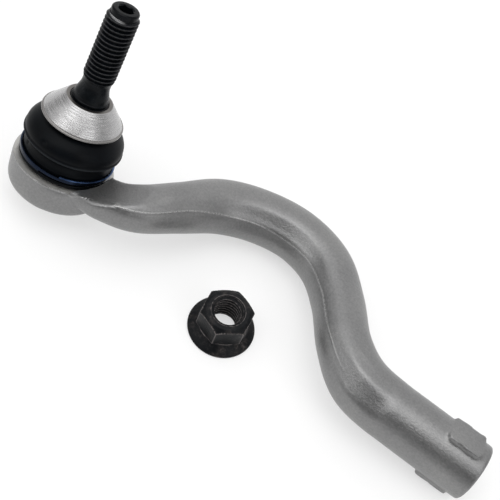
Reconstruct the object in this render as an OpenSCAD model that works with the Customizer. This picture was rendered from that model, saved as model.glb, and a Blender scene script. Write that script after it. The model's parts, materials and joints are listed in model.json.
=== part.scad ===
// Outer tie rod end: a forged arm with a ball joint at one end and a threaded barrel at the other.
// Each module is drawn about the ball's centre, with +Z up the stud, and lying() lays it on the ground.

/* [Stud] */
// Outside diameter of the stud's thread
thread_d = 14; // [12:0.5:14]
// Height of the stud's tip above the ball's centre
stud_top = 75.5; // [70:0.5:80]
// Height at which the thread starts
thread_low = 43; // [41:0.5:46]
// Length of the plain pilot above the thread
pilot_len = 2.4; // [1:0.1:4]
// Diameter of the shank that the seat collar is pressed on
shank_d = 16.4; // [16:0.1:16.6]
// Diameter of the ball
ball_d = 25; // [24:0.1:25]
// Width across the flats of the hex recess in the tip
recess_af = 6; // [4:0.5:7]

/* [Seat collar] */
// Diameter of the cone at its top
seat_top_d = 20.8; // [19:0.1:22]
// Diameter of the rim at its base
seat_base_d = 36.2; // [34:0.1:37]
// Height of the collar
seat_h = 10.1; // [9:0.1:11]

/* [Housing] */
// Diameter of the housing at its faced deck
housing_d = 45.4; // [44.8:0.2:48]
// Diameter of the neck that the boot grips
neck_d = 36; // [35.6:0.1:36.2]
// Bore that holds the bearings
bearing_bore_d = 30; // [29.8:0.1:30.4]
// Thickness of the closing plate
plate_t = 1.6; // [1.2:0.1:1.8]

/* [Barrel] */
// Outside diameter of the barrel
barrel_d = 26.4; // [25:0.2:28]
// Core diameter of the M16 x 1.5 thread in the barrel
barrel_core_d = 14.376; // [14:0.001:14.5]
// Depth of the thread in the barrel
barrel_bore_depth = 42; // [30:1:46]
// Distance across the two wrench pads
pads_af = 26.8; // [26.6:0.2:28]
// Length of a wrench pad
pad_len = 15.5; // [12:0.5:18]

/* [Flange nut] */
// Width across the nut's flats
nut_af = 21; // [20:0.5:22]
// Diameter of the nut's flange
nut_flange_d = 29.9; // [28:0.1:31]
// Height of the nut
nut_h = 16; // [12:0.5:17]
// Core diameter of the nut's M14 x 2 thread
nut_core_d = 11.835; // [11:0.001:12.2]

/* [Hidden] */
$fn = 64;

// How the part lies: it rests on the housing's rim, the outside of the bend and the barrel's mouth
lean = 21.6;
side_tip = 1.1;
ball_rest_h = 24.35;
// Moves the origin to the middle of the whole part's floor area
origin_shift = [-98.7, -14.42, 0];
// Middle of the loose nut, from the ball's centre along the ground
nut_at = [96.6, -11.6, 0];
nut_turn = 39.5;

// Fits: the ball in its bearings, and the ring under the boot's lip on the shank
ball_fit = 0.05;
bearing_fit = 0.05;
// Space between pieces that move apart
body_gap = 0.3;

ball_r = ball_d / 2;
ball_flat_z = -11.8;
shank_r = shank_d / 2;
neck_r = 6.9;
seat_z = 20.5;
seat_r = seat_base_d / 2;
seat_top_r = seat_top_d / 2;
seat_top_z = seat_z + seat_h;
thread_r = thread_d / 2;
pilot_r = thread_r * 0.85;
recess_depth = 5;

housing_r = housing_d / 2;
housing_low = -18.3;
plate_low = -17.7;
plate_r = 17;
plate_lip_r = 15.8;
deck_z = -3.8;
// The deck is faced to this radius, through the root of the arm
deck_cut_r = 22.2;
neck_top = 8.8;
roof_z = 6.6;
mouth_r = 11.3;
neck_outer_r = neck_d / 2;
bearing_bore_r = bearing_bore_d / 2;
bearing_r = bearing_bore_r - bearing_fit;
bearing_split = 0.3;
upper_bearing_top = 6.5;
lower_bearing_low = -14.4;
grease_hole_r = 3.5;

// Middle line of the arm from the housing to the barrel, and half its thickness there
arm_route = [
    [2, -12, -1.5], [14, -11.5, -1.2], [27, -9.4, -0.5], [40, -3.4, 0.2], [51.6, 13, 0.8],
    [64, 31.2, 1.6], [80.5, 41.3, 2.6], [99, 45, 2.7], [117, 39.9, 1.3], [131.5, 25.4, -1.2],
    [144.5, 7.4, -4.6], [158.5, -2.3, -8.5], [175, -2.8, -11.3], [192, -1.7, -12.7]
];
arm_half = [9.6, 9.6, 9.8, 10.2, 11, 12.1, 12.1, 12, 11.9, 11.5, 11.7, 12.8, 13.1, 13.1];
arm_sides = 24;
rings_per_span = 4;
section_power = 2.15;

barrel_r = barrel_d / 2;
barrel_end = [218.8, 0, -15];
barrel_dip = 4.8;
barrel_yaw = 3.55;
barrel_len = 47;
barrel_edge_r = 1.6;
barrel_core_r = barrel_core_d / 2;
countersink_r = 8.6;
drill_point_h = 4;
pad_w = 14.4;
pad_end_gap = 4.5;
pad_corner_r = 1.5;

boot_low = -3.5;
clamp_z = -0.6;
clamp_h = 2.8;
clamp_t = 1;
clamp_r = 20.15;

nut_r = nut_af / sqrt(3);
nut_flange_r = nut_flange_d / 2;
nut_core_r = nut_core_d / 2;
nut_flange_edge = 1.7;
nut_flange_h = 4.6;
nut_crown_r = 10.1;
nut_crown_h = 1.3;

function unit(v) = v / norm(v);
// Smooth curve through four neighbouring values a, b, c and d, at t between b and c
function smooth(a, b, c, d, t) =
    (2 * b + (c - a) * t + (2 * a - 5 * b + 4 * c - d) * t * t + (3 * b - a - 3 * c + d) * t * t * t) / 2;
function along(v, s) =
    let (i = min(floor(s), len(v) - 4), t = s - i)
    smooth(v[i], v[i + 1], v[i + 2], v[i + 3], t);
// One ring of the arm: a rounded square of half thickness h about centre c, square to direction d
function arm_ring(c, d, h) =
    let (side = unit(cross([0, 0, 1], d)), up = cross(d, side))
    [for (k = [0 : arm_sides - 1])
        let (a = 360 * k / arm_sides, x = cos(a), y = sin(a),
            r = h * pow(pow(abs(x), section_power) + pow(abs(y), section_power), -1 / section_power))
        c + r * (x * side + y * up)];

// Lays a piece down as the whole part rests on the ground
module lying() {
    translate(origin_shift + [0, 0, ball_rest_h]) rotate([-lean, -side_tip, 0]) children();
}

// Turns to the barrel's own axis: +Z leaves its mouth, and -X points up the stud
module on_barrel() {
    translate(barrel_end) rotate([0, 90 + barrel_dip, barrel_yaw]) children();
}

module arm() {
    spans = len(arm_route) - 3;
    count = spans * rings_per_span;
    step = 1 / rings_per_span;
    nudge = 0.02;
    points = [for (i = [0 : count])
        let (s = i * step, before = max(s - nudge, 0), d = along(arm_route, s + nudge) - along(arm_route, before))
        each arm_ring(along(arm_route, s), unit(d), along(arm_half, s))];
    near_end = [for (k = [0 : arm_sides - 1]) k];
    far_end = [for (k = [arm_sides - 1 : -1 : 0]) count * arm_sides + k];
    walls = [for (i = [0 : count - 1], k = [0 : arm_sides - 1])
        let (a = i * arm_sides, n = (k + 1) % arm_sides)
        each [[a + k, a + arm_sides + k, a + arm_sides + n], [a + k, a + arm_sides + n, a + n]]];
    polyhedron(points, concat([near_end], walls, [far_end]), convexity = 6);
}

module housing_outside() {
    rotate_extrude() polygon([
        [0, housing_low], [19.6, housing_low], [20.6, housing_low + 0.5], [21.4, housing_low + 1.5],
        [21.8, housing_low + 3], [housing_r, deck_z - 2], [housing_r, deck_z], [neck_outer_r, deck_z],
        [neck_outer_r, neck_top - 0.6], [neck_outer_r - 0.6, neck_top], [0, neck_top]]);
}

module housing_inside() {
    rotate_extrude() polygon([
        [0, housing_low - 1], [plate_lip_r, housing_low - 1], [plate_lip_r, plate_low],
        [plate_r, plate_low], [plate_r, plate_low + plate_t], [bearing_bore_r, plate_low + plate_t],
        [bearing_bore_r, roof_z], [mouth_r, roof_z], [mouth_r + 1.5, neck_top], [mouth_r + 1.5, neck_top + 1],
        [0, neck_top + 1]]);
}

module barrel_outside() {
    rotate_extrude() {
        translate([0, -barrel_len]) square([barrel_r, barrel_len - barrel_edge_r]);
        translate([0, -2 * barrel_edge_r]) square([barrel_r - barrel_edge_r, 2 * barrel_edge_r]);
        translate([barrel_r - barrel_edge_r, -barrel_edge_r]) circle(barrel_edge_r);
    }
    translate([-pads_af / 2, 0, -pad_end_gap - pad_len / 2]) rotate([0, 90, 0])
        linear_extrude(pads_af) for (x = [-1, 1], y = [-1, 1]) {
            translate([x * (pad_len / 2 - pad_corner_r), y * (pad_w / 2 - pad_corner_r)]) circle(pad_corner_r);
            square([pad_len, pad_w - 2 * pad_corner_r], center = true);
            square([pad_len - 2 * pad_corner_r, pad_w], center = true);
        }
}

module barrel_inside() {
    translate([0, 0, -barrel_bore_depth]) cylinder(h = barrel_bore_depth + 1, r = barrel_core_r);
    translate([0, 0, -barrel_bore_depth - drill_point_h])
        cylinder(h = drill_point_h, r1 = 0.01, r2 = barrel_core_r);
    cone_h = countersink_r - barrel_core_r;
    translate([0, 0, -cone_h]) cylinder(h = cone_h, r1 = barrel_core_r, r2 = countersink_r);
}

module forged_arm() {
    color("darkgray") lying() difference() {
        union() {
            housing_outside();
            difference() {
                arm();
                translate([0, 0, deck_z]) cylinder(h = 2 * neck_top, r = deck_cut_r);
            }
            on_barrel() barrel_outside();
        }
        housing_inside();
        on_barrel() barrel_inside();
    }
}

module upper_bearing() {
    color("ivory") lying() difference() {
        translate([0, 0, bearing_split])
            cylinder(h = upper_bearing_top - bearing_split, r = bearing_r);
        sphere(ball_r + ball_fit);
    }
}

module lower_bearing() {
    color("ivory") lying() difference() {
        translate([0, 0, lower_bearing_low])
            cylinder(h = -bearing_split - lower_bearing_low, r = bearing_r);
        sphere(ball_r + ball_fit);
        translate([0, 0, lower_bearing_low - 1]) cylinder(h = 6, r = grease_hole_r);
    }
}

// Coned disc spring that keeps the bearings tight on the ball
module preload_spring() {
    spring_t = 0.5;
    plate_top = plate_low + plate_t;
    color("slategray") lying() rotate_extrude() polygon([
        [6, lower_bearing_low - spring_t - 0.02], [12.5, plate_top + 0.02],
        [12.5, plate_top + spring_t + 0.02], [6, lower_bearing_low - 0.02]]);
}

module closing_plate() {
    color("dimgray") lying() translate([0, 0, plate_low + 0.02])
        cylinder(h = plate_t - 0.04, r = plate_r - 0.05);
}

module boot() {
    lip_in = neck_outer_r + body_gap;
    color([0.09, 0.09, 0.1]) lying() rotate_extrude() polygon([
        [lip_in, boot_low], [20.2, boot_low], [20.9, boot_low + 0.8], [21, clamp_z - 1.1],
        [20.6, clamp_z - body_gap], [clamp_r - body_gap, clamp_z - body_gap],
        [clamp_r - body_gap, clamp_z + clamp_h + body_gap], [20.1, clamp_z + clamp_h + 0.6],
        [19.7, 6.4], [19.6, 7.8], [20.3, 8.6], [21.7, 9.2], [22.2, 9.8], [22, 10.5],
        [21.9, 12], [21.2, 14], [19.7, 16.2], [17.6, 18.2], [15.6, 19.4], [13.9, 19.8], [13.9, 17.7],
        [11.7, 17.7], [11.7, 18.8], [9.5, 18.8], [9.5, 14.6], [12, 14.8], [16, 15.4], [18.4, 13.6],
        [19.6, 11.6], [19.4, 10.4], [lip_in, 9.2], [lip_in, boot_low]]);
}

// Steel ring in the boot's upper lip, in which the stud turns
module boot_insert() {
    inside_r = shank_r + 0.05;
    color("slategray") lying() rotate_extrude() polygon([
        [inside_r, 15.5], [9.2, 15.5], [9.2, 19.2], [11.2, 19.2], [11.2, 20], [inside_r, 20]]);
}

module boot_top_ring() {
    color("dimgray") lying() rotate_extrude() translate([12.8, 18.9]) circle(0.8, $fn = 24);
}

module boot_clamp_ring() {
    color([0.1, 0.13, 0.25]) lying() translate([0, 0, clamp_z]) difference() {
        cylinder(h = clamp_h, r = clamp_r + clamp_t);
        translate([0, 0, -1]) cylinder(h = clamp_h + 2, r = clamp_r);
    }
}

module ball_stud() {
    thread_high = stud_top - pilot_len;
    core_r = thread_r - 1.2;
    color([0.16, 0.16, 0.17]) lying() difference() {
        union() {
            intersection() {
                sphere(ball_r);
                translate([0, 0, ball_flat_z]) cylinder(h = 2 * ball_r, r = ball_r + 1);
            }
            rotate_extrude() polygon([
                [0, 4], [neck_r, 4], [neck_r, 12.6], [shank_r, 15.4], [shank_r, seat_top_z - 0.2],
                [7.8, seat_top_z + 0.4], [7.7, 32], [7.3, 34], [6.6, 36], [6.2, 37.8], [6.2, 40.4],
                [thread_r, thread_low], [thread_r, thread_high - 1.1], [core_r, thread_high],
                [pilot_r, thread_high + 0.1], [pilot_r, stud_top - 0.6], [pilot_r - 0.6, stud_top], [0, stud_top]]);
        }
        translate([0, 0, stud_top - recess_depth])
            cylinder(h = recess_depth + 1, r = recess_af / sqrt(3), $fn = 6);
    }
}

module seat_collar() {
    rim_h = 0.9;
    groove = 0.25;
    bore_r = shank_r + 0.02;
    color("lightgray") lying() rotate_extrude() polygon([
        [bore_r, seat_z], [seat_r - 0.3, seat_z], [seat_r, seat_z + 0.3], [seat_r, seat_z + rim_h],
        [seat_r - 0.5, seat_z + rim_h + groove], [seat_r - 0.55, seat_z + rim_h + 2 * groove],
        [seat_top_r, seat_top_z - 0.2], [seat_top_r - 0.3, seat_top_z],
        [bore_r + 0.6, seat_top_z], [bore_r, seat_top_z - 0.6]]);
}

module flange_nut() {
    color([0.13, 0.13, 0.14]) translate(origin_shift + nut_at) rotate([0, 0, nut_turn]) difference() {
        union() {
            intersection() {
                cylinder(h = nut_h, r = nut_r, $fn = 6);
                rotate_extrude() polygon([
                    [0, 0], [nut_r + 1, 0], [nut_r + 1, nut_h - 2.6], [nut_crown_r, nut_h - nut_crown_h],
                    [nut_crown_r - 0.9, nut_h], [0, nut_h]]);
            }
            rotate_extrude() polygon([
                [0, 0], [nut_flange_r - 0.4, 0], [nut_flange_r, 0.4], [nut_flange_r, nut_flange_edge - 0.4],
                [nut_flange_r - 0.5, nut_flange_edge], [10, nut_flange_h], [0, nut_flange_h]]);
        }
        translate([0, 0, -1]) cylinder(h = nut_h + 2, r = nut_core_r);
        mouth_r = thread_r + 0.1;
        cone_h = mouth_r - nut_core_r;
        cylinder(h = cone_h, r1 = mouth_r, r2 = nut_core_r);
        translate([0, 0, nut_h - cone_h]) cylinder(h = cone_h, r1 = nut_core_r, r2 = mouth_r);
    }
}

forged_arm();
upper_bearing();
lower_bearing();
preload_spring();
closing_plate();
boot();
boot_insert();
boot_top_ring();
boot_clamp_ring();
ball_stud();
seat_collar();
flange_nut();
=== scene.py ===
"""Looks of a tie rod end: forged arm, booted ball joint with a cone seat, and its loose flange nut."""

import json
import math

import bmesh
import bpy
import numpy as np
from mathutils import Matrix, Vector


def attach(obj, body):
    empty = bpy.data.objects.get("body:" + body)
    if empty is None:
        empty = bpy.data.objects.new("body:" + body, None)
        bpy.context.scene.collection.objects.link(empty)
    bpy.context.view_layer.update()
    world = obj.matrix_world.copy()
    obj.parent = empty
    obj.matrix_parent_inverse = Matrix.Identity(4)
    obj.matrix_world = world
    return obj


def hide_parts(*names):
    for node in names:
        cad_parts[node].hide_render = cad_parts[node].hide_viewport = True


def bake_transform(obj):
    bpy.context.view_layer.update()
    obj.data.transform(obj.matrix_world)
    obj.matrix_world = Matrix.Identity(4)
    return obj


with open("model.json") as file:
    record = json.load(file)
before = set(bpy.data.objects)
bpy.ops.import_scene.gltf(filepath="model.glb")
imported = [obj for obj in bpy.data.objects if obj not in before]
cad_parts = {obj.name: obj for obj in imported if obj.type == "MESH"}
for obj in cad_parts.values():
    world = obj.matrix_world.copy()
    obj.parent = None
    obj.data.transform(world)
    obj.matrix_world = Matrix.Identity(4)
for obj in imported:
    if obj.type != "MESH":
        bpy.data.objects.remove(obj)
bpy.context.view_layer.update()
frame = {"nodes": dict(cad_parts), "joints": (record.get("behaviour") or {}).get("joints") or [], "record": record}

MM = 0.001
TURN = 2 * math.pi

# ---------------------------------------------------------------- places, from the frame


def unit(vector):
    return Vector(vector).normalized()


def axes_at(place, x_axis, z_axis):
    """A matrix that stands a piece drawn in millimetres at a place in the row frame."""
    z_axis = unit(z_axis)
    y_axis = z_axis.cross(unit(x_axis)).normalized()
    turn = Matrix((y_axis.cross(z_axis), y_axis, z_axis)).transposed()
    return Matrix.Translation(place) @ turn.to_4x4() @ Matrix.Scale(MM, 4)


JOINTS = {joint["name"]: joint for joint in frame["joints"]}
MOUNTS = {mount["name"]: mount for mount in frame["record"]["mounts"]}

# The ball's centre, with +Z up the stud and +X along the arm
BALL = axes_at(JOINTS["stud_spin"]["pos_m"], JOINTS["stud_tilt_side"]["axis"], JOINTS["stud_spin"]["axis"])
STUD_UP = unit(JOINTS["stud_spin"]["axis"])

# The barrel's mouth, with +Z out of it and +Y up the stud
BARREL_END = [218.8, 0, -15]
BARREL_AXIS = unit(MOUNTS["barrel_thread"]["axis"])
MOUTH = axes_at(BALL @ Vector(BARREL_END), STUD_UP, BARREL_AXIS)

# The loose nut, on the ground
NUT_TURN = math.radians(39.5)
nut_middle = Vector(MOUNTS["nut_thread"]["pos_m"])
NUT = axes_at((nut_middle.x, nut_middle.y, 0), (math.cos(NUT_TURN), math.sin(NUT_TURN), 0), (0, 0, 1))

# ---------------------------------------------------------------- sizes, in millimetres

BALL_R = 12.5
BALL_FLAT = -11.8
STUD_NECK_R = 6.9
SHANK_R = 8.2
THREAD_R = 7
THREAD_PITCH = 2
THREAD_DEPTH = 1.227
THREAD_LOW = 43
THREAD_HIGH = 72
STUD_TOP = 75.5
RECESS_AF = 6
RECESS_DEPTH = 5

SEAT_Z = 20.5
SEAT_TOP = 30.6
SEAT_R = 18.1
SEAT_TOP_R = 10.4

HOUSING_R = 22.7
HOUSING_LOW = -18.3
DECK_Z = -3.8
DECK_CUT_R = 22.35
NECK_R = 18
NECK_TOP = 8.8
BORE_R = 15
BORE_LOW = -16.1
ROOF_Z = 6.6
MOUTH_R = 11.3
PLATE_R = 17
PLATE_LOW = -17.7
PLATE_LIP_R = 15.8

BARREL_R = 13.2
BARREL_LEN = 47
BARREL_CORE_R = 7.188
BARREL_PITCH = 1.5
BARREL_THREAD_DEPTH = 0.812
BARREL_BORE = 42
COUNTERSINK_R = 8.6
PADS_AF = 26.8
PAD_W = 14.4
PAD_LEN = 15.5
PAD_END_GAP = 4.5

CLAMP_Z = -0.6
CLAMP_H = 2.8
CLAMP_R = 20.15
CLAMP_T = 1
CLAMP_TURNS = 1.93
# Direction about the stud's axis in which the wire's upper end shows
CLAMP_TURN = math.radians(268)

BOOT_IN = NECK_R + 0.3
# Radius and height of the boot's ridge, where its two visual pieces meet
SEAM = (22.1, 9.1)
# Direction in degrees, radius, height, depth and width of the boot's moulded dimples
BOOT_DIMPLES = [(232, 19.6, 5, 0.5, 0.8), (240, 22, 9.6, 0.5, 0.5), (262, 21.2, 13.6, 0.7, 0.9)]

NUT_AF = 21
NUT_H = 16
NUT_FLANGE_R = 14.95
NUT_CORE_R = 5.9175

# Middle line of the arm from the housing to the barrel, and half its thickness at each of its stations.
# The first and the last entry only steer the curve: station 0 is the second entry.
ARM_ROUTE = [
    (2, -12, -1.5), (14, -11.5, -1.2), (27, -9.4, -0.5), (40, -3.4, 0.2), (51.6, 13, 0.8),
    (64, 31.2, 1.6), (80.5, 41.3, 2.6), (99, 45, 2.7), (117, 39.9, 1.3), (131.5, 25.4, -1.2),
    (144.5, 7.4, -4.6), (158.5, -2.3, -8.5), (175, -2.8, -11.3), (192, -1.7, -12.7),
]
ARM_HALF = [9.6, 9.6, 9.8, 10.2, 11, 12.1, 12.1, 12, 11.9, 11.5, 11.7, 12.8, 13.1, 13.1]
SECTION_POWER = 2.15
# By how much the section's near half is narrower at the housing and its far half wider, and the stations
# between which this fades
NEAR_NARROWER, NEAR_FADE = 0.3, (0, 0.9)
FAR_WIDER, FAR_FADE = 0.5, (0.3, 1.5)
# Two planes cut the root's upper corner: each one's height over the middle line and slope across the arm.
# They rise clear of the arm between two stations.
FLANK_HEIGHT, FLANK_SLOPE = 9.4, 0.33
BEVEL_HEIGHT, BEVEL_SLOPE = 18.3, 1.57
PLANES_RISE, PLANES_FADE = 3.5, (1.7, 3.4)
# Height of the forging's parting line over the middle line, as a share of half the thickness there
PARTING = [-0.5, -0.24, 0.34, 0.5, 0.6, 0.34, 0.27, 0.2, 0.3, 0.46, 0.5, 0.4, 0.35, 0.35]
# The arm's greatest height at the deck's edge, as (y, height), and the slope outwards from there
COVE_RISE = [(-22, -3.6), (-17, -1.6), (-12, 0), (-8, 1), (-4, 2.3), (0, 3.9), (5, 4.6)]
COVE_SLOPE = 0.35
# Distances from the stud's axis between which the housing's wall gives way to the arm
ARM_BEGINS = (23, 26)
# Stations between which the parting line fades out, on the near side and on the far one
NEAR_LINE_ENDS = (9, 10)
FAR_LINE_ENDS = (0.5, 2)
# The painted shade on the arm's flank near its root: the direction across the arm at which it begins, from the
# near side, how dark it is, the distances from the stud's axis between which it begins, and the stations between
# which it ends
FLANK_SHADE_FROM = math.radians(45)
FLANK_SHADE_SHARE = 0.4
FLANK_SHADE_BEGINS = (26, 33)
FLANK_SHADE_ENDS = (1.2, 3.2)
# The forging's skin: its grid, and the x between which it turns crisp towards the barrel's pads and end
SKIN_VOXEL = 0.62
CRISP_FROM = (186, 194)
# The larger fillets, as middle and width: where the arm leaves the housing, by distance from the stud's
# axis, and where it runs into the barrel, by x
ROOT_FILLET = (26, 5.5)
BARREL_FILLET = (172, 9)
# How far the upper die leaves the skin proud of the lower one
DIE_STEP = 0.26

# ---------------------------------------------------------------- node trees


class Number:
    """A number socket of a node tree. Arithmetic on it adds Math nodes."""

    def __init__(self, nodes, socket):
        self.nodes = nodes
        self.socket = socket

    def math(self, operation, *values):
        node = self.nodes.add("ShaderNodeMath", {"operation": operation}, dict(enumerate(values)))
        return Number(self.nodes, node.outputs[0])

    def __add__(self, other):
        return self.math("ADD", self, other)

    def __radd__(self, other):
        return self.math("ADD", other, self)

    def __sub__(self, other):
        return self.math("SUBTRACT", self, other)

    def __rsub__(self, other):
        return self.math("SUBTRACT", other, self)

    def __mul__(self, other):
        return self.math("MULTIPLY", self, other)

    def __rmul__(self, other):
        return self.math("MULTIPLY", other, self)

    def __truediv__(self, other):
        return self.math("DIVIDE", self, other)

    def __pow__(self, other):
        return self.math("POWER", self, other)

    def at_least(self, other):
        return self.math("MAXIMUM", self, other)

    def at_most(self, other):
        return self.math("MINIMUM", self, other)

    def size(self):
        return self.math("ABSOLUTE", self)

    def fraction(self):
        return self.math("FRACT", self)

    def angle_from(self, other):
        return self.math("ARCTAN2", self, other)

    def step(self, low, high):
        """0 below low and 1 above high, smooth between them."""
        node = self.nodes.add(
            "ShaderNodeMapRange", {"interpolation_type": "SMOOTHSTEP"},
            {"Value": self, "From Min": low, "From Max": high})
        return Number(self.nodes, node.outputs[0])

    def band(self, middle, half):
        """1 at the middle, falling to 0 at half a width away on both sides."""
        return 1 - (self - middle).size().step(0, half)


class Nodes:
    """Adds nodes to a tree and links them."""

    def __init__(self, tree):
        self.tree = tree
        tree.nodes.clear()

    def feed(self, socket, value):
        if isinstance(value, Number):
            value = value.socket
        if isinstance(value, bpy.types.NodeSocket):
            self.tree.links.new(value, socket)
        else:
            socket.default_value = value

    def add(self, kind, settings=None, inputs=None):
        node = self.tree.nodes.new(kind)
        for name, value in (settings or {}).items():
            if name == "stops":
                ramp = node.color_ramp
                while len(ramp.elements) < len(value):
                    ramp.elements.new(1)
                for element, (place, shade) in zip(ramp.elements, value):
                    element.position = place
                    element.color = (*shade, 1)
            else:
                setattr(node, name, value)
        for name, value in (inputs or {}).items():
            self.feed(node.inputs[name], value)
        return node

    def number(self, kind, settings=None, inputs=None, out=0):
        return Number(self, self.add(kind, settings, inputs).outputs[out])


class Finish(Nodes):
    """A material around one Principled shader, with helpers for the patterns on it."""

    def __init__(self, name, **fixed):
        self.material = bpy.data.materials.new(name)
        self.material.use_nodes = True
        super().__init__(self.material.node_tree)
        self.shader = self.add("ShaderNodeBsdfPrincipled", None, {
            key.replace("_", " ").title().replace("Ior", "IOR"): value for key, value in fixed.items()})
        output = self.add("ShaderNodeOutputMaterial")
        self.tree.links.new(self.shader.outputs[0], output.inputs[0])
        self.place = self.add("ShaderNodeTexCoord").outputs["Object"]

    def local(self, matrix):
        """Place in a piece's own frame, in metres, as three numbers."""
        vector = self.add("ShaderNodeMapping", {"vector_type": "TEXTURE"}, {
            "Vector": self.place, "Location": matrix.to_translation(),
            "Rotation": matrix.to_euler()}).outputs[0]
        split = self.add("ShaderNodeSeparateXYZ", None, {0: vector})
        return [Number(self, split.outputs[axis]) for axis in range(3)]

    def noise(self, scale, detail=2, rough=0.5):
        return self.number("ShaderNodeTexNoise", None, {
            "Vector": self.place, "Scale": scale, "Detail": detail, "Roughness": rough})

    def rings(self, number, scale, detail=2):
        """Noise that changes along one number only, such as a lathe's turning marks."""
        return self.number("ShaderNodeTexNoise", {"noise_dimensions": "1D"}, {
            "W": number, "Scale": scale, "Detail": detail})

    def ramp(self, number, *stops):
        return self.add("ShaderNodeValToRGB", {"stops": stops}, {"Fac": number}).outputs[0]

    def mix(self, share, first, second):
        node = self.add("ShaderNodeMix", {"data_type": "RGBA"}, {0: share})
        for place, value in ((6, first), (7, second)):
            self.feed(node.inputs[place], (*value, 1) if isinstance(value, tuple) else value)
        return node.outputs[2]

    def attribute(self, name):
        return self.number("ShaderNodeAttribute", {"attribute_name": name}, None, "Fac")

    def set(self, **values):
        for key, value in values.items():
            self.feed(self.shader.inputs[key.replace("_", " ").title()], value)

    def bump(self, height, depth, strength=1.0):
        """Raises the surface by height times depth, in metres."""
        node = self.add("ShaderNodeBump", None, {
            "Height": height, "Distance": depth, "Strength": strength})
        self.feed(self.shader.inputs["Normal"], node.outputs[0])


# ---------------------------------------------------------------- finishes


def blasted_aluminium():
    f = Finish("blasted_aluminium", metallic=0.85)
    cloud = f.noise(45, 3)
    grain = f.noise(1000, 4, 0.7)
    fine = f.noise(2600, 2, 0.6)
    tone = f.ramp(cloud * 0.35 + grain * 0.65,
                  (0.3, (0.175, 0.175, 0.177)), (0.52, (0.23, 0.23, 0.23)), (0.74, (0.298, 0.296, 0.288)))
    # The parting line and the deck's outer edge: a real trimmed line in the bump and roughness, with a painted
    # highlight, paler grey, in the colour
    line = f.attribute("parting").band(0, 0.5) * f.attribute("line_mask")
    # Painted shade: the flank near the root is darkened towards a dark grey
    flank = f.attribute("flank")
    f.set(base_color=f.mix(line * 0.3, f.mix(flank, tone, (0.15, 0.15, 0.152)), (0.62, 0.62, 0.61)),
          roughness=0.27 + 0.16 * grain - 0.08 * line)
    f.bump(grain * 0.7 + fine * 0.3 + line * 0.6, 0.0003, 0.7)
    return f.material


def machined_aluminium():
    f = Finish("machined_aluminium", metallic=0.55)
    x, y, z = f.local(BALL)
    marks = f.rings((x * x + y * y) ** 0.5 + z, 5200, 3)
    tone = f.ramp(f.noise(220, 3) * 0.6 + marks * 0.4,
                  (0.3, (0.43, 0.425, 0.41)), (0.7, (0.6, 0.59, 0.57)))
    f.set(base_color=tone, roughness=0.34 + 0.14 * marks)
    f.bump(marks, 0.00003, 0.5)
    return f.material


def black_steel():
    f = Finish("oiled_black_steel", metallic=0.0, ior=1.2)
    x, y, z = f.local(BALL)
    patch = f.noise(260, 4, 0.6)
    grain = f.noise(2200, 3)
    tone = f.ramp(patch, (0.3, (0.0012, 0.0018, 0.0025)), (0.55, (0.003, 0.0042, 0.0055)),
                  (0.75, (0.009, 0.010, 0.012)))
    # The thread's first flank carries a painted highlight on one side, bright and metallic, and the crests are a
    # little worn bright
    side = y.angle_from(x).band(math.radians(-112), math.radians(75)).step(0, 0.6)
    first = z.band((THREAD_HIGH + 0.3) * MM, 0.5 * MM) * side
    crest = (x * x + y * y).step((THREAD_R - 0.28) ** 2 * MM * MM, THREAD_R ** 2 * MM * MM)
    worn = first * 0.85 + crest * z.step(THREAD_LOW * MM, (THREAD_LOW + 1) * MM) * 0.1 * patch
    f.set(base_color=f.mix(worn, tone, (0.62, 0.62, 0.63)), metallic=first * 0.9,
          roughness=0.17 + 0.16 * patch)
    f.bump(grain, 0.00004, 0.5)
    return f.material


def turned_steel():
    f = Finish("turned_steel", metallic=1.0)
    z = f.local(BALL)[2]
    fine = f.rings(z, 14000, 3)
    coarse = f.rings(z, 1500, 2)
    top = z.step((SEAT_TOP - 0.12) * MM, (SEAT_TOP - 0.05) * MM)
    rim = 1 - z.step((SEAT_Z + 1.35) * MM, (SEAT_Z + 1.5) * MM)
    tone = f.ramp(coarse * 0.25 + f.noise(160, 3) * 0.75,
                  (0.3, (0.35, 0.347, 0.35)), (0.7, (0.44, 0.437, 0.437)))
    # The rim and the ring round the shank are darker than the turned cone
    f.set(base_color=f.mix(top * 0.85 + rim * 0.6, tone, (0.13, 0.12, 0.11)),
          roughness=0.12 + 0.05 * coarse + top * 0.2)
    f.bump(fine * 0.85 + coarse * 0.15, 0.00007, 0.8)
    return f.material


def boot_rubber():
    f = Finish("boot_rubber", metallic=0.0, ior=1.17)
    soft = f.noise(90, 3)
    grain = f.noise(1500, 3, 0.6)
    dust = f.noise(420, 5, 0.7).step(0.66, 0.82)
    tone = f.ramp(soft, (0.3, (0.0006, 0.001, 0.0017)), (0.7, (0.002, 0.0031, 0.0046)))
    # The ridge carries a painted highlight, paler along its edge
    ridge_highlight = f.attribute("ridge") * (0.4 + 0.6 * grain)
    f.set(base_color=f.mix(dust * 0.2 + ridge_highlight * 0.8, tone, (0.03, 0.034, 0.038)),
          roughness=0.33 + 0.16 * soft)
    f.bump(grain, 0.00005, 0.35)
    return f.material


def blued_wire():
    f = Finish("blued_wire", metallic=0.9)
    z = f.local(BALL)[2]
    patch = f.noise(120, 3)
    drawn = f.noise(1800, 2)
    # A painted blue highlight along the wire's upper edge; elsewhere the wire is nearly black
    edge = z.step((CLAMP_Z + CLAMP_H - 0.75) * MM, (CLAMP_Z + CLAMP_H - 0.2) * MM)
    blue_highlight = f.ramp(patch, (0.3, (0.018, 0.032, 0.07)), (0.55, (0.045, 0.085, 0.19)),
                  (0.75, (0.13, 0.19, 0.32)))
    f.set(base_color=f.mix(edge * 0.9 + 0.1, (0.004, 0.006, 0.011), blue_highlight), roughness=0.2 + 0.14 * drawn)
    f.bump(drawn, 0.00002, 0.3)
    return f.material


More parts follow.
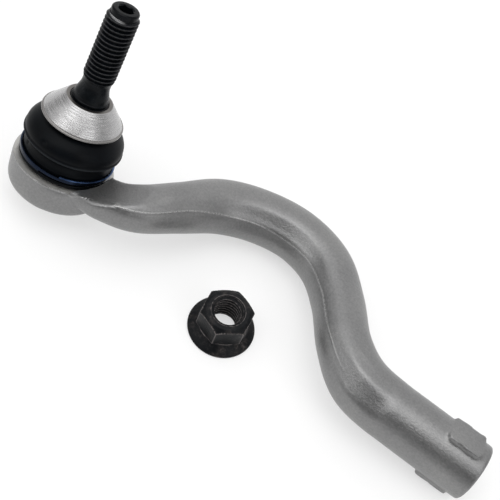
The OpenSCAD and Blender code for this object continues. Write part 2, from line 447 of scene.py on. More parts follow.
def phosphated_nut():
    f = Finish("phosphated_nut", metallic=0.0, ior=1.24)
    patch = f.noise(190, 5, 0.62)
    spots = f.noise(900, 4, 0.65)
    tone = f.ramp(patch * 0.65 + spots * 0.35,
                  (0.34, (0.001, 0.0016, 0.0024)), (0.5, (0.0045, 0.0052, 0.0065)),
                  (0.6, (0.02, 0.018, 0.018)), (0.72, (0.08, 0.07, 0.068)))
    worn = f.attribute("edge") * spots.step(0.3, 0.62)
    f.set(base_color=f.mix(worn * 0.8, tone, (0.2, 0.18, 0.175)), roughness=0.26 + 0.3 * spots)
    f.bump(spots, 0.0002, 0.6)
    return f.material


def moulded_acetal():
    f = Finish("moulded_acetal", metallic=0.0, subsurface_weight=0.1)
    grease = f.noise(300, 4).step(0.5, 0.7)
    f.set(base_color=f.mix(grease * 0.5, (0.78, 0.75, 0.66), (0.55, 0.47, 0.3)),
          roughness=0.42 - 0.2 * grease)
    f.bump(f.noise(1400, 3), 0.00004, 0.3)
    return f.material


def spring_strip():
    f = Finish("spring_strip", metallic=1.0)
    marks = f.noise(700, 4)
    f.set(base_color=f.ramp(marks, (0.3, (0.2, 0.2, 0.22)), (0.7, (0.42, 0.42, 0.44))),
          roughness=0.3 + 0.15 * marks)
    f.bump(marks, 0.00003, 0.4)
    return f.material


def zinc_plate():
    f = Finish("zinc_plate", metallic=1.0)
    x, y, _ = f.local(BALL)
    spangle = f.noise(260, 4)
    rings = f.rings((x * x + y * y) ** 0.5, 2400, 2)
    f.set(base_color=f.ramp(spangle, (0.3, (0.4, 0.4, 0.39)), (0.7, (0.62, 0.62, 0.6))),
          roughness=0.28 + 0.2 * spangle)
    f.bump(rings * 0.5 + spangle * 0.5, 0.00005, 0.4)
    return f.material


def dark_ring_steel():
    f = Finish("dark_ring_steel", metallic=1.0)
    marks = f.noise(900, 4)
    f.set(base_color=f.ramp(marks, (0.3, (0.03, 0.03, 0.034)), (0.7, (0.09, 0.09, 0.1))),
          roughness=0.3 + 0.15 * marks)
    f.bump(marks, 0.00003, 0.4)
    return f.material


# ---------------------------------------------------------------- mesh tools


def make_object(name, points, faces):
    mesh = bpy.data.meshes.new(name)
    mesh.from_pydata([tuple(p) for p in points], [], faces)
    mesh.update()
    thing = bpy.data.objects.new(name, mesh)
    bpy.context.scene.collection.objects.link(thing)
    return thing


def tidy_faces(thing, weld=1e-5):
    """Merges doubles and turns every face outwards."""
    work = bmesh.new()
    work.from_mesh(thing.data)
    bmesh.ops.remove_doubles(work, verts=work.verts, dist=weld)
    bmesh.ops.recalc_face_normals(work, faces=work.faces)
    work.to_mesh(thing.data)
    work.free()


def rounded(*corners):
    """An outline in (r, z). A corner's third number rounds it."""
    line = []
    last = len(corners) - 1
    for i, corner in enumerate(corners):
        here = Vector(corner[:2])
        if len(corner) < 3 or i in (0, last):
            line.append(here)
            continue
        before, after = Vector(corners[i - 1][:2]) - here, Vector(corners[i + 1][:2]) - here
        reach = min(corner[2], before.length * 0.48, after.length * 0.48)
        start, end = here + before.normalized() * reach, here + after.normalized() * reach
        for k in range(5):
            t = k / 4
            line.append(start * (1 - t) ** 2 + here * 2 * t * (1 - t) + end * t * t)
    return line


def rows_between(line, low, high, gap):
    """Adds points to an outline so that its rows between two heights are at most a gap apart."""
    full = [line[0]]
    for a, b in zip(line, line[1:]):
        inside = low <= (a.y + b.y) / 2 <= high
        pieces = max(1, math.ceil((b - a).length / gap)) if inside else 1
        full += [a.lerp(b, k / pieces) for k in range(1, pieces + 1)]
    return full


def lathe(name, line, sides=96, closed=False):
    """Turns an outline about Z. An open outline starts and ends on the axis, or is closed into a ring."""
    points, rings = [], []
    for p in line:
        if p.x < 1e-6:
            rings.append([len(points)])
            points.append((0, 0, p.y))
        else:
            rings.append(list(range(len(points), len(points) + sides)))
            points += [(p.x * math.cos(TURN * k / sides), p.x * math.sin(TURN * k / sides), p.y)
                       for k in range(sides)]
    faces = []
    pairs = list(zip(rings, rings[1:])) + ([(rings[-1], rings[0])] if closed else [])
    for a, b in pairs:
        for k in range(sides):
            n = (k + 1) % sides
            if len(a) == 1 and len(b) == 1:
                break
            if len(a) == 1:
                faces.append((a[0], b[n], b[k]))
            elif len(b) == 1:
                faces.append((a[k], a[n], b[0]))
            else:
                faces.append((a[k], a[n], b[n], b[k]))
    thing = make_object(name, points, faces)
    tidy_faces(thing)
    return thing


def prism(name, outline, low, high):
    """A straight solid over an outline in (x, y)."""
    count = len(outline)
    points = [(x, y, low) for x, y in outline] + [(x, y, high) for x, y in outline]
    faces = [tuple(range(count - 1, -1, -1)), tuple(range(count, 2 * count))]
    faces += [(k, (k + 1) % count, count + (k + 1) % count, count + k) for k in range(count)]
    thing = make_object(name, points, faces)
    tidy_faces(thing)
    return thing


def evaluated(thing):
    """Replaces a thing's mesh with its modifiers' result."""
    graph = bpy.context.evaluated_depsgraph_get()
    mesh = bpy.data.meshes.new_from_object(thing.evaluated_get(graph))
    thing.modifiers.clear()
    thing.data = mesh
    return thing


def cut(thing, tool):
    """Takes the tool's solid out of the thing."""
    step = thing.modifiers.new("cut", "BOOLEAN")
    step.operation = "DIFFERENCE"
    step.solver = "MANIFOLD"
    step.object = tool
    evaluated(thing)
    bpy.data.objects.remove(tool)
    return thing


def joined(things):
    """One thing with the faces of them all."""
    first = things[0]
    work = bmesh.new()
    for thing in things:
        work.from_mesh(thing.data)
    work.to_mesh(first.data)
    work.free()
    for thing in things[1:]:
        bpy.data.objects.remove(thing)
    return first


def smooth_faces(thing, angle=35):
    thing.data.shade_smooth()
    thing.data.set_sharp_from_angle(angle=math.radians(angle))


def dress(thing, *materials):
    thing.data.materials.clear()
    for material in materials:
        thing.data.materials.append(material)


def stand(thing, matrix, angle=35):
    """Puts a piece drawn in millimetres in its place in the row frame."""
    thing.data.transform(matrix)
    smooth_faces(thing, angle)
    return thing


def coordinates(thing):
    values = np.empty(len(thing.data.vertices) * 3)
    thing.data.vertices.foreach_get("co", values)
    return values.reshape(-1, 3)


def set_coordinates(thing, points):
    thing.data.vertices.foreach_set("co", points.ravel())
    thing.data.update()


def store(thing, label, values):
    """Keeps a number for each vertex, for the thing's material to read."""
    attribute = thing.data.attributes.new(label, "FLOAT", "POINT")
    attribute.data.foreach_set("value", values.astype(np.float32))


def relax(thing, rounds, share):
    """Evens the surface out: each vertex moves towards the mean of its neighbours by its share."""
    points = coordinates(thing)
    edges = np.empty(len(thing.data.edges) * 2, int)
    thing.data.edges.foreach_get("vertices", edges)
    a, b = edges.reshape(-1, 2).T
    count = np.bincount(np.r_[a, b], minlength=len(points))[:, None]
    for _ in range(rounds):
        total = np.zeros_like(points)
        for axis in range(3):
            total[:, axis] = np.bincount(
                np.r_[a, b], np.r_[points[b, axis], points[a, axis]], minlength=len(points))
        points = points + np.reshape(share, (-1, 1)) * (total / np.maximum(count, 1) - points)
    set_coordinates(thing, points)


# ---------------------------------------------------------------- geometry nodes


def new_tree(name, inputs):
    """A geometry tree with named inputs, given as name to (socket type, value)."""
    tree = bpy.data.node_groups.new(name, "GeometryNodeTree")
    nodes = Nodes(tree)
    tree.interface.new_socket("Geometry", in_out="INPUT", socket_type="NodeSocketGeometry")
    for label, (kind, value) in inputs.items():
        socket = tree.interface.new_socket(label, in_out="INPUT", socket_type=kind)
        if value is not None:
            socket.default_value = value
    tree.interface.new_socket("Geometry", in_out="OUTPUT", socket_type="NodeSocketGeometry")
    group = nodes.add("NodeGroupInput")
    values = {label: Number(nodes, group.outputs[label]) for label in ("Geometry", *inputs)}
    return tree, nodes, values


def end_tree(nodes, geometry, material):
    real = nodes.add("GeometryNodeRealizeInstances", None, {0: geometry}).outputs[0]
    painted = nodes.add("GeometryNodeSetMaterial", None, {"Geometry": real, "Material": material})
    nodes.add("NodeGroupOutput", None, {0: painted.outputs[0]})


def run_tree(thing, tree, **values):
    step = thing.modifiers.new(tree.name, "NODES")
    step.node_group = tree
    names = {item.name: item.identifier for item in tree.interface.items_tree if item.in_out == "INPUT"}
    for label, value in values.items():
        step[names[label.replace("_", " ").capitalize()]] = value
    return evaluated(thing)


def thread_tree():
    """Cuts a helical thread into a turned surface about Z. Side is 1 on a stud and -1 in a hole."""
    number = "NodeSocketFloat"
    tree, nodes, given = new_tree("screw_thread", {
        "Pitch": (number, 2), "Crest": (number, 7), "Depth": (number, 1.2), "Side": (number, 1),
        "Low": (number, 0), "High": (number, 10), "Runout": (number, 1),
        "Material": ("NodeSocketMaterial", None)})
    place = nodes.add("GeometryNodeInputPosition").outputs[0]
    split = nodes.add("ShaderNodeSeparateXYZ", None, {0: place})
    x, y, z = (Number(nodes, split.outputs[axis]) for axis in range(3))
    radius = (x * x + y * y) ** 0.5
    phase = (z / given["Pitch"] - y.angle_from(x) / TURN + 100).fraction()
    # A flat crest an eighth of the pitch wide, and a flat root a quarter wide
    rise = (((phase - 0.5).size() * 2 - 0.25) / 0.625).at_least(0).at_most(1)
    fade = z.step(given["Low"], given["Low"] + given["Runout"])
    fade = fade * (1 - z.step(given["High"] - given["Runout"] * 0.2, given["High"]))
    cut_to = given["Side"] * given["Crest"] - given["Depth"] * (1 - rise) * fade
    new_radius = given["Side"] * (given["Side"] * radius).at_most(cut_to)
    inside = fade.step(0, 0.001)
    share = 1 + (new_radius / radius.at_least(0.01) - 1) * inside
    moved = nodes.add("ShaderNodeCombineXYZ", None, {0: x * share, 1: y * share, 2: z}).outputs[0]
    shaped = nodes.add("GeometryNodeSetPosition", None, {
        "Geometry": given["Geometry"], "Position": moved}).outputs[0]
    end_tree(nodes, shaped, given["Material"])
    return tree


def wire_ring_tree():
    """Winds a flat wire with rounded edges into turns that lie on each other."""
    number = "NodeSocketFloat"
    tree, nodes, given = new_tree("wire_ring", {
        "Turns": (number, 2), "Radius": (number, 20), "Rise": (number, 2), "Wire width": (number, 1),
        "Wire height": (number, 1), "Edge": (number, 0.2), "Material": ("NodeSocketMaterial", None)})
    path = nodes.add("GeometryNodeCurveSpiral", None, {
        "Resolution": 96, "Rotations": given["Turns"], "Start Radius": given["Radius"],
        "End Radius": given["Radius"], "Height": given["Rise"]}).outputs[0]
    path = nodes.add("GeometryNodeSetCurveNormal", {"mode": "Z_UP"}, {0: path}).outputs[0]
    wire = nodes.add("GeometryNodeCurvePrimitiveQuadrilateral", None, {
        "Width": given["Wire width"], "Height": given["Wire height"]}).outputs[0]
    wire = nodes.add("GeometryNodeFilletCurve", {"mode": "POLY"}, {
        "Curve": wire, "Radius": given["Edge"], "Count": 3}).outputs[0]
    ring = nodes.add("GeometryNodeCurveToMesh", None, {
        "Curve": path, "Profile Curve": wire, "Fill Caps": True}).outputs[0]
    end_tree(nodes, ring, given["Material"])
    return tree


THREAD = thread_tree()
WIRE_RING = wire_ring_tree()

# ---------------------------------------------------------------- the forged arm


def spline(values, s):
    """Smooth curve through a list, whose second entry is at s = 0."""
    i = min(int(s), len(values) - 4)
    t = s - i
    a, b, c, d = (np.array(values[i + k], float) for k in range(4))
    return (2 * b + (c - a) * t + (2 * a - 5 * b + 4 * c - d) * t ** 2
            + (3 * b - a - 3 * c + d) * t ** 3) / 2


def ease(value, low, high):
    """0 below low and 1 above high, smooth between them."""
    t = np.clip((value - low) / (high - low), 0, 1)
    return t * t * (3 - 2 * t)


def bell(value, middle, width):
    """1 at the middle, falling smoothly to 0 on both sides."""
    return np.exp(-((value - middle) / width) ** 2)


def arm_stations(per_span):
    """The arm's middle line as rows of place, side, up, half thickness and station."""
    spans = len(ARM_ROUTE) - 3
    rows = []
    for s in np.linspace(0, spans, spans * per_span + 1):
        here = spline(ARM_ROUTE, s)
        run = spline(ARM_ROUTE, min(s + 0.02, spans)) - spline(ARM_ROUTE, max(s - 0.02, 0))
        run /= np.linalg.norm(run)
        side = np.cross((0, 0, 1), run)
        side /= np.linalg.norm(side)
        rows.append((here, side, np.cross(run, side), float(spline(ARM_HALF, s)), s))
    return rows


def arm_section(half, s, sides):
    """The arm's section: a rounded square. Near the housing a bevel and a flank cut its near corner off."""
    a = np.arange(sides) * TURN / sides
    x, y = np.cos(a), np.sin(a)
    r = half * (np.abs(x) ** SECTION_POWER + np.abs(y) ** SECTION_POWER) ** (-1 / SECTION_POWER)
    # It leaves the housing narrower on the near side, and flares on the far one
    near = 1 - NEAR_NARROWER * (1 - ease(s, *NEAR_FADE))
    far = 1 + FAR_WIDER * (1 - ease(s, *FAR_FADE))
    u, v = r * x * np.where(x < 0, near, far), r * y
    rise = PLANES_RISE * ease(s, *PLANES_FADE)
    flank = FLANK_HEIGHT + rise + FLANK_SLOPE * u
    bevel = BEVEL_HEIGHT + rise + BEVEL_SLOPE * u
    return u, np.minimum(v, np.minimum(flank, bevel))


def cove(points):
    """The arm's highest point at each place near the housing: it rises outwards from the deck's edge."""
    away = np.hypot(points[:, 0], points[:, 1]) - DECK_CUT_R - 0.65
    at_edge = np.interp(points[:, 1], *zip(*COVE_RISE))
    return at_edge + COVE_SLOPE * np.maximum(away, 0)


def arm_sweep(sides=72, per_span=14):
    rows = arm_stations(per_span)
    points = []
    for here, side, up, half, s in rows:
        u, v = arm_section(half, s, sides)
        ring = here + u[:, None] * side + v[:, None] * up
        ring[:, 2] = np.minimum(ring[:, 2], cove(ring))
        points += list(ring)
    faces = [tuple(range(sides - 1, -1, -1))]
    for i in range(len(rows) - 1):
        a = i * sides
        faces += [(a + k, a + (k + 1) % sides, a + sides + (k + 1) % sides, a + sides + k)
                  for k in range(sides)]
    faces.append(tuple(range((len(rows) - 1) * sides, len(rows) * sides)))
    thing = make_object("arm_sweep", points, faces)
    tidy_faces(thing)
    return thing


def pad_block():
    """The two wrench pads, as one block through the barrel."""
    half_w, half_l, corner = PAD_W / 2, PAD_LEN / 2, 1.6
    outline = []
    for sx, sy, start in ((1, 1, 0), (-1, 1, 1), (-1, -1, 2), (1, -1, 3)):
        for k in range(6):
            a = (start + k / 5) * TURN / 4
            outline.append((sx * (half_l - corner) + corner * math.cos(a),
                            sy * (half_w - corner) + corner * math.sin(a)))
    block = prism("pads", outline, -PADS_AF / 2, PADS_AF / 2)
    # The block's X becomes the barrel's way in, and its Z goes across the pads
    middle = -PAD_END_GAP - half_l
    block.data.transform(Matrix(((0, 0, 1, 0), (0, 1, 0, 0), (-1, 0, 0, middle), (0, 0, 0, 1))))
    return block


def forging():
    """The raw forging in the ball's frame, in millimetres: housing, arm and barrel in one skin."""
    housing = lathe("housing", rounded(
        (0, HOUSING_LOW), (19.8, HOUSING_LOW, 0.8), (21.6, HOUSING_LOW + 2, 1.5),
        (22.1, HOUSING_LOW + 5, 2), (HOUSING_R, DECK_Z - 2), (HOUSING_R, DECK_Z + 0.7),
        (NECK_R + 0.8, DECK_Z + 1.5), (NECK_R + 0.8, NECK_TOP + 1.5), (0, NECK_TOP + 1.5)))
    barrel = lathe("barrel", rounded(
        (0, -BARREL_LEN), (BARREL_R, -BARREL_LEN), (BARREL_R, 0, 1.3), (0, 0)))
    to_ball = BALL.inverted() @ MOUTH
    pads = pad_block()
    for thing in (barrel, pads):
        thing.data.transform(to_ball)
    skin = joined([housing, arm_sweep(), barrel, pads])
    remesh = skin.modifiers.new("one_skin", "REMESH")
    remesh.mode = "VOXEL"
    remesh.voxel_size = SKIN_VOXEL
    evaluated(skin)
    # The barrel's pads and end stay crisp
    x = coordinates(skin)[:, 0]
    relax(skin, 5, 0.5 - 0.38 * ease(x, *CRISP_FROM))
    # A larger fillet where the arm leaves the housing, and where it runs into the barrel
    x, y, _ = coordinates(skin).T
    at_root = bell(np.hypot(x, y), *ROOT_FILLET) * (x > 3) * (y < 8) * ease(x, 3, 9)
    relax(skin, 45, 0.5 * np.maximum(at_root, bell(x, *BARREL_FILLET)))
    return skin


def mark_parting(skin):
    """Stores how far each vertex is above the parting line, where the line and its painted highlight show, and the
    flank's painted shade.
    """
    rows = arm_stations(10)
    places = np.array([row[0] for row in rows])
    points = coordinates(skin)
    nearest = np.empty(len(points), int)
    for start in range(0, len(points), 20000):
        part = points[start:start + 20000]
        nearest[start:start + 20000] = ((part[:, None] - places[None]) ** 2).sum(2).argmin(1)
    sides, ups = np.array([row[1] for row in rows]), np.array([row[2] for row in rows])
    halves, stations = np.array([row[3] for row in rows]), np.array([row[4] for row in rows])
    offset = points - places[nearest]
    half = halves[nearest]
    height = (offset * ups[nearest]).sum(1)
    across = (offset * sides[nearest]).sum(1)
    station = stations[nearest]
    share = np.array([float(spline(PARTING, s)) for s in stations])[nearest]
    radius = np.hypot(points[:, 0], points[:, 1])
    # Round the housing the line is the deck's outer edge
    on_arm = ease(radius, *ARM_BEGINS) * (points[:, 0] > 0)
    above = on_arm * (height - share * half) + (1 - on_arm) * (points[:, 2] - DECK_Z + 0.25)
    # Where the line shows: its die step, its bump and its painted highlight
    mask = ease(np.abs(across) / half, 0.55, 0.75) * (1 - ease(station, *NEAR_LINE_ENDS)) * on_arm
    mask *= np.where(across > 0, 1 - ease(station, *FAR_LINE_ENDS), 1)
    mask = np.maximum(mask, (1 - on_arm) * ease(radius, 21.9, 22.3) * (points[:, 2] > DECK_Z - 3))
    normals = np.empty(len(points) * 3)
    skin.data.vertices.foreach_get("normal", normals)
    # The upper die leaves the skin a little proud of the lower one
    step = DIE_STEP * mask * on_arm * (ease(above, -0.9, 0.1) - ease(above, 0.1, 3.2))
    set_coordinates(skin, points + normals.reshape(-1, 3) * step[:, None])
    # The flank's painted shade starts clear of the housing, and narrows and fades out along the arm
    begin = FLANK_SHADE_FROM + (TURN / 4 - FLANK_SHADE_FROM) * ease(station, 1.5, 3.2)
    flank = ease(np.arctan2(height, -across) - begin, -0.04, 0.04)
    flank *= (1 - ease(station, *FLANK_SHADE_ENDS)) * on_arm * ease(radius, *FLANK_SHADE_BEGINS)
    for label, values in (("parting", above), ("line_mask", mask), ("flank", FLANK_SHADE_SHARE * flank)):
        store(skin, label, values)


def machining():
    """Everything that the lathe takes out of the housing, as one solid about the stud's axis."""
    return lathe("machining", rounded(
        (0, HOUSING_LOW - 1), (PLATE_LIP_R, HOUSING_LOW - 1), (PLATE_LIP_R, PLATE_LOW),
        (PLATE_R, PLATE_LOW), (PLATE_R, BORE_LOW), (BORE_R, BORE_LOW), (BORE_R, ROOF_Z),
        (MOUTH_R, ROOF_Z), (MOUTH_R + 1.5, NECK_TOP), (NECK_R - 0.6, NECK_TOP),
        (NECK_R, NECK_TOP - 0.6), (NECK_R, DECK_Z + 0.4), (NECK_R + 0.4, DECK_Z),
        (DECK_CUT_R + 0.6, DECK_Z), (DECK_CUT_R + 0.6, 26), (0, 26)), 160)


def barrel_hole():
    """The barrel's threaded hole, with its countersunk mouth and drill point."""
    cone = COUNTERSINK_R - BARREL_CORE_R
    line = rounded((0, -BARREL_BORE - 4), (BARREL_CORE_R, -BARREL_BORE), (BARREL_CORE_R, -cone),
                   (COUNTERSINK_R, 0), (COUNTERSINK_R, 1), (0, 1))
    hole = lathe("barrel_hole", rows_between(line, -BARREL_BORE, -0.5, BARREL_PITCH / 10), 64)
    run_tree(hole, THREAD, pitch=BARREL_PITCH, crest=BARREL_CORE_R, depth=BARREL_THREAD_DEPTH, side=-1.0,
             low=float(-BARREL_BORE), high=0.2, runout=1.5)
    tidy_faces(hole)
    hole.data.transform(BALL.inverted() @ MOUTH)
    return hole


def make_forged_arm(raw, machined):
    arm = forging()
    mark_parting(arm)
    cut(arm, machining())
    cut(arm, barrel_hole())
    dress(arm, raw, machined)
    to_mouth = MOUTH.inverted() @ BALL
    for face in arm.data.polygons:
        centre = face.center
        radius = math.hypot(centre.x, centre.y)
        at_barrel = to_mouth @ centre
        in_hole = math.hypot(at_barrel.x, at_barrel.y) < COUNTERSINK_R + 0.1 and at_barrel.z > -BARREL_LEN
        faced = radius < DECK_CUT_R + 0.65 and centre.z > DECK_Z - 0.01
        face.material_index = 1 if in_hole or faced or radius < PLATE_R + 0.1 else 0
    arm.name = "forging"
    return stand(arm, BALL, 40)


# ---------------------------------------------------------------- the stud, its collar and the boot


def hex_recess():
    corner, turn = RECESS_AF / math.sqrt(3), math.radians(12)
    outline = [(corner * math.cos(turn + TURN * k / 6), corner * math.sin(turn + TURN * k / 6))
               for k in range(6)]
    return prism("recess", outline, STUD_TOP - RECESS_DEPTH, STUD_TOP + 1)


def make_stud(material):
    low_edge = math.acos(-BALL_FLAT / BALL_R)
    high_edge = math.pi - math.asin(STUD_NECK_R / BALL_R)
    ball = [Vector((BALL_R * math.sin(a), -BALL_R * math.cos(a)))
            for a in np.linspace(low_edge, high_edge, 30)]
    # Neck, shank, groove and bead over the collar, tapering waist, thread, and plain end
    upper = rounded(
        (STUD_NECK_R, 10.42), (STUD_NECK_R, 12.6, 1), (SHANK_R, 15.4, 0.8), (SHANK_R, 30.2, 0.2),
        (7.5, 30.35), (7.5, 30.95), (7.95, 31.05, 0.3), (7.95, 31.75, 0.3), (7.6, 32, 0.2),
        (7.45, 33.7, 0.8), (6.95, 35.1, 0.8), (6.5, 36.6, 0.8), (6.2, 38.2, 0.8), (6.2, 40.4, 0.8),
        (THREAD_R, THREAD_LOW), (THREAD_R, THREAD_HIGH), (5.75, 73.05), (5.75, 73.35), (5.95, 73.5),
        (5.95, 74.9, 0.15), (5.4, STUD_TOP, 0.15), (0, STUD_TOP))
    line = [Vector((0, BALL_FLAT)), *ball, *upper[1:]]
    stud = lathe("stud", rows_between(line, 41, THREAD_HIGH + 1.1, THREAD_PITCH / 20))
    run_tree(stud, THREAD, pitch=float(THREAD_PITCH), crest=float(THREAD_R), depth=THREAD_DEPTH, side=1.0,
             low=41.2, high=THREAD_HIGH + 1.05, runout=1.8)
    tidy_faces(stud)
    cut(stud, hex_recess())
    # The recess has a coned mouth
    mouth, bottom = STUD_TOP + 0.05, STUD_TOP - 0.6
    cut(stud, lathe("lead", rounded((0, bottom), (3, bottom), (3.75, mouth), (0, mouth)), 48))
    dress(stud, material)
    return stand(stud, BALL, 32)


def make_collar(material):
    bore = SHANK_R + 0.02
    cone_r = SEAT_R - 0.75
    collar = lathe("collar", rounded(
        (bore, SEAT_Z), (SEAT_R - 0.3, SEAT_Z, 0.2), (SEAT_R, SEAT_Z + 0.3, 0.2),
        (SEAT_R, SEAT_Z + 0.85, 0.2), (SEAT_R - 0.35, SEAT_Z + 1.05, 0.1),
        (cone_r, SEAT_Z + 1.15, 0.1), (cone_r, SEAT_Z + 1.4, 0.1),
        (SEAT_TOP_R + 0.15, SEAT_TOP - 0.3, 0.3), (SEAT_TOP_R - 0.3, SEAT_TOP, 0.3),
        (bore + 0.6, SEAT_TOP), (bore, SEAT_TOP - 0.6)), 128, closed=True)
    dress(collar, material)
    return stand(collar, BALL, 25)


def boot_lower_skin():
    """The boot below its ridge: the lip under the wire ring, its groove, and the straight wall."""
    return rounded(
        (BOOT_IN, -3.5), (18.7, -3.5, 0.2), (20, -2.8, 0.3), (20.8, -2.1, 0.3), (21, -1.5, 0.3),
        (20.6, -0.9, 0.2), (19.85, -0.8, 0.1), (19.85, 2.5, 0.1), (20.1, 2.8, 0.2), (19.75, 4, 1),
        (19.6, 6.4, 1), (19.2, 7.7, 0.5), (19.7, 8.35, 0.3), (21.6, 8.5, 0.2), SEAM, (BOOT_IN, SEAM[1]))


def boot_upper_skin():
    """The boot above its ridge: the bulge, and the upper lip about its rings."""
    return rounded(
        (BOOT_IN, SEAM[1]), SEAM, (22.1, 9.5, 0.2), (21.6, 10.1, 0.4), (21.75, 11.4, 1),
        (21.4, 13.2, 1.2), (20.1, 15.4, 1.2), (18, 17.4, 1.2), (15.8, 18.9, 1.2), (14.4, 19.5, 0.6),
        (13.9, 19.5, 0.3), (13.9, 17.7), (11.7, 17.7), (11.7, 18.8), (9.5, 18.8), (9.5, 14.6, 0.4),
        (12, 14.8, 1), (16, 15.2, 1), (18.2, 13.6, 1), (19.4, 11.6, 1), (19.2, 10.4, 0.5))


def dent(thing, place, depth, width):
    """Presses a small round dimple into a piece, towards its axis."""
    points = coordinates(thing)
    far = np.linalg.norm(points - np.array(place), axis=1)
    radius = np.maximum(np.hypot(points[:, 0], points[:, 1]), 0.1)
    push = depth * np.exp(-(far / width) ** 2)
    points[:, :2] *= (1 - push / radius)[:, None]
    set_coordinates(thing, points)


def make_boot(material):
    """The boot in two pieces that meet at its ridge."""
    pieces = []
    for name, skin in (("boot_lower_wall", boot_lower_skin()), ("boot_upper_bulge", boot_upper_skin())):
        piece = lathe(name, rows_between(skin, -4, 20, 0.5), 160, closed=True)
        for degrees, radius, height, depth, width in BOOT_DIMPLES:
            a = math.radians(degrees)
            dent(piece, (radius * math.cos(a), radius * math.sin(a), height), depth, width)
        points = coordinates(piece)
        # Where the ridge's painted highlight lies
        ridge = ease(np.hypot(points[:, 0], points[:, 1]), SEAM[0] - 0.25, SEAM[0])
        ridge *= 1 - ease(np.abs(points[:, 2] - SEAM[1] - 0.1), 0.2, 0.7)
        store(piece, "ridge", ridge)
        dress(piece, material)
        pieces.append(stand(piece, BALL, 50))
    return pieces


def make_clamp(material):
    ring = make_object("clamp_wire", [], [])
    wire_height = CLAMP_H / 2 - 0.08
    run_tree(ring, WIRE_RING, turns=CLAMP_TURNS, radius=CLAMP_R + CLAMP_T / 2, rise=CLAMP_H / 2,
             wire_width=CLAMP_T, wire_height=wire_height, edge=0.22, material=material)
    tidy_faces(ring)
    turn = Matrix.Rotation(CLAMP_TURN, 4, "Z")
    ring.data.transform(Matrix.Translation((0, 0, CLAMP_Z + wire_height / 2 + 0.04)) @ turn)
    return stand(ring, BALL, 40)


def nut_blank():
    """The nut without its hole: a turned flange and crown, with the hexagon pressed into its upper part."""
    corner = NUT_AF / math.sqrt(3)
    flank_top, hex_low, hex_high = 5.2, 5.0, 13.5
    crown = rounded(
        (0, 0), (NUT_FLANGE_R - 0.5, 0, 0.3), (NUT_FLANGE_R, 0.5, 0.3), (NUT_FLANGE_R, 1.3, 0.4),
        (NUT_FLANGE_R - 0.7, 1.9, 0.4), (11.2, 4.1, 1.2), (10.7, flank_top, 0.5),
        (corner + 0.4, flank_top), (corner + 0.4, hex_high), (10.2, 15.2, 0.5), (9.3, NUT_H, 0.5),
        (0, NUT_H))
    nut = lathe("nut", rows_between(crown, 1.9, NUT_H, 0.5), 192)
    points = coordinates(nut)
    radius = np.hypot(points[:, 0], points[:, 1])
    # Distance to the hexagon's edge in each direction, with its corners a little rounded
    turned = np.arctan2(points[:, 1], points[:, 0]) % (TURN / 6) - TURN / 12
    edge = np.minimum(NUT_AF / 2 / np.cos(turned), corner - 0.12)
    pressed = np.where(points[:, 2] > hex_low, np.minimum(radius, edge), radius)
    points[:, :2] *= (pressed / np.maximum(radius, 1e-6))[:, None]
    set_coordinates(nut, points)
    tidy_faces(nut)
    return nut


def mark_edges(thing, sharp=0.35):
    """Stores 1 at the vertices on an outward corner, for the wear there."""
    work = bmesh.new()
    work.from_mesh(thing.data)
    worn = np.zeros(len(work.verts))
    for edge in work.edges:
        if len(edge.link_faces) == 2 and edge.calc_face_angle_signed(0) > sharp:
            for vertex in edge.verts:
                worn[vertex.index] = 1
    work.free()
    store(thing, "edge", worn)


def make_nut(material):
    nut = nut_blank()
    cone = THREAD_R + 0.1 - NUT_CORE_R
    mouth_r = THREAD_R + 0.5
    line = rounded((0, -1), (mouth_r, -1), (mouth_r, 0), (NUT_CORE_R, cone), (NUT_CORE_R, NUT_H - cone),
                   (mouth_r, NUT_H), (mouth_r, NUT_H + 1), (0, NUT_H + 1))
    hole = lathe("nut_hole", rows_between(line, 0.1, NUT_H - 0.1, THREAD_PITCH / 16), 72)
    run_tree(hole, THREAD, pitch=float(THREAD_PITCH), crest=NUT_CORE_R, depth=THREAD_R + 0.05 - NUT_CORE_R,
             side=-1.0, low=-0.5, high=NUT_H + 0.5, runout=0.5)
    tidy_faces(hole)
    cut(nut, hole)
    mark_edges(nut)
    dress(nut, material)
    return stand(nut, NUT, 30)


# ---------------------------------------------------------------- put together


def replace(node, thing, name, body):
    thing.name = name
    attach(thing, body)
    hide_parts(node)


arm = make_forged_arm(blasted_aluminium(), machined_aluminium())
replace("forged_arm", arm, "arm_forging", "housing")
replace("ball_stud", make_stud(black_steel()), "threaded_stud", "stud")
replace("seat_collar", make_collar(turned_steel()), "cone_collar", "stud")
replace("boot_clamp_ring", make_clamp(blued_wire()), "clamp_wire_ring", "housing")
replace("flange_nut", make_nut(phosphated_nut()), "flanged_lock_nut", "nut")

# For each boot piece, the two bodies it lies between and the heights between which it does
BOOT_BENDS = (("housing", "boot_middle", 2.6, 9), ("boot_middle", "boot_lip", 9.3, 17.5))
boot_pieces = make_boot(boot_rubber())
for piece, (fixed, moving, low, high) in zip(boot_pieces, BOOT_BENDS):
    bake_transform(piece)
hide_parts("boot")

# The inner pieces keep their solids, each with its own finish
for node, make in (("upper_bearing", moulded_acetal), ("lower_bearing", moulded_acetal),
                   ("preload_spring", spring_strip), ("closing_plate", zinc_plate),
                   ("boot_insert", dark_ring_steel), ("boot_top_ring", dark_ring_steel)):
    thing = frame["nodes"][node]
    for place in thing.material_slots:
        place.material = make()

# ---------------------------------------------------------------- floor, light and camera


def make_floor():
    floor = make_object("floor", [(-6, -6, 0), (6, -6, 0), (6, 6, 0), (-6, 6, 0)], [(0, 1, 2, 3)])
    f = Finish("pale_floor", roughness=0.9, specular_ior_level=0.0, emission_strength=0.56,
               emission_color=(1, 1, 1, 1))
    f.set(base_color=f.ramp(f.noise(3, 2), (0.3, (0.42, 0.42, 0.42)), (0.7, (0.44, 0.44, 0.44))))
    dress(floor, f.material)


WORLD_LEVEL = 1.0
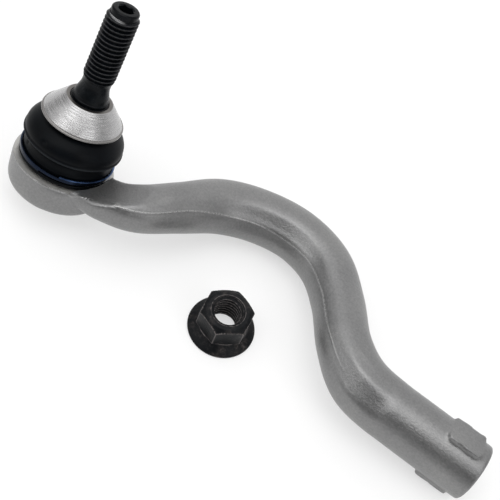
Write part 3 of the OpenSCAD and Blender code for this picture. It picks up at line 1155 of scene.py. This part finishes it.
# Each patch of the studio's sky: azimuth, elevation, outer and inner angle, and change in level. Azimuth 0
# is towards -Y, and 90 towards +X.
WORLD_PATCHES = [
    (0, 85, 30, 12, 1.6), (-40, 56, 13, 4, 2.4), (82, 42, 13, 4, 2.6), (112, 28, 40, 16, -0.4),
    (-122, 50, 32, 12, 0.35), (10, 10, 62, 35, -0.55), (-100, 10, 35, 12, -0.5), (20, 46, 30, 10, -0.5),
]


def make_world():
    """A pale studio with brighter and darker patches, smooth at their edges."""
    world = bpy.data.worlds.new("studio")
    bpy.context.scene.world = world
    world.use_nodes = True
    nodes = Nodes(world.node_tree)
    way = nodes.add("ShaderNodeTexCoord").outputs["Generated"]

    def patch(azimuth, elevation, outer, inner):
        a, e = math.radians(azimuth), math.radians(elevation)
        middle = (math.sin(a) * math.cos(e), -math.cos(a) * math.cos(e), math.sin(e))
        near = nodes.number(
            "ShaderNodeVectorMath", {"operation": "DOT_PRODUCT"}, {0: way, 1: middle}, "Value")
        return near.step(math.cos(math.radians(outer)), math.cos(math.radians(inner)))

    level = WORLD_LEVEL
    for azimuth, elevation, outer, inner, change in WORLD_PATCHES:
        level = patch(azimuth, elevation, outer, inner) * change + level
    background = nodes.add("ShaderNodeBackground", None, {"Color": (1, 1, 1, 1), "Strength": level})
    nodes.add("ShaderNodeOutputWorld", None, {0: background.outputs[0]})


# Where the camera stands, the way it looks, and its upward direction
EYE = Vector((0.0529, -0.2802, 0.4533))
LOOK = Vector((-0.12277, 0.54242, -0.83109))
UP = Vector((-0.57339, 0.64474, 0.50550))


def make_camera():
    data = bpy.data.cameras.new("camera")
    data.sensor_width = 36
    data.lens = 86.4
    data.clip_start, data.clip_end = 0.01, 50
    camera = bpy.data.objects.new("camera", data)
    bpy.context.scene.collection.objects.link(camera)
    back = -LOOK.normalized()
    right = UP.cross(back).normalized()
    turn = Matrix((right, back.cross(right), back)).transposed()
    camera.matrix_world = Matrix.Translation(EYE) @ turn.to_4x4()
    bpy.context.scene.camera = camera


make_floor()
make_world()
make_camera()
bpy.context.scene.view_settings.view_transform = "Standard"
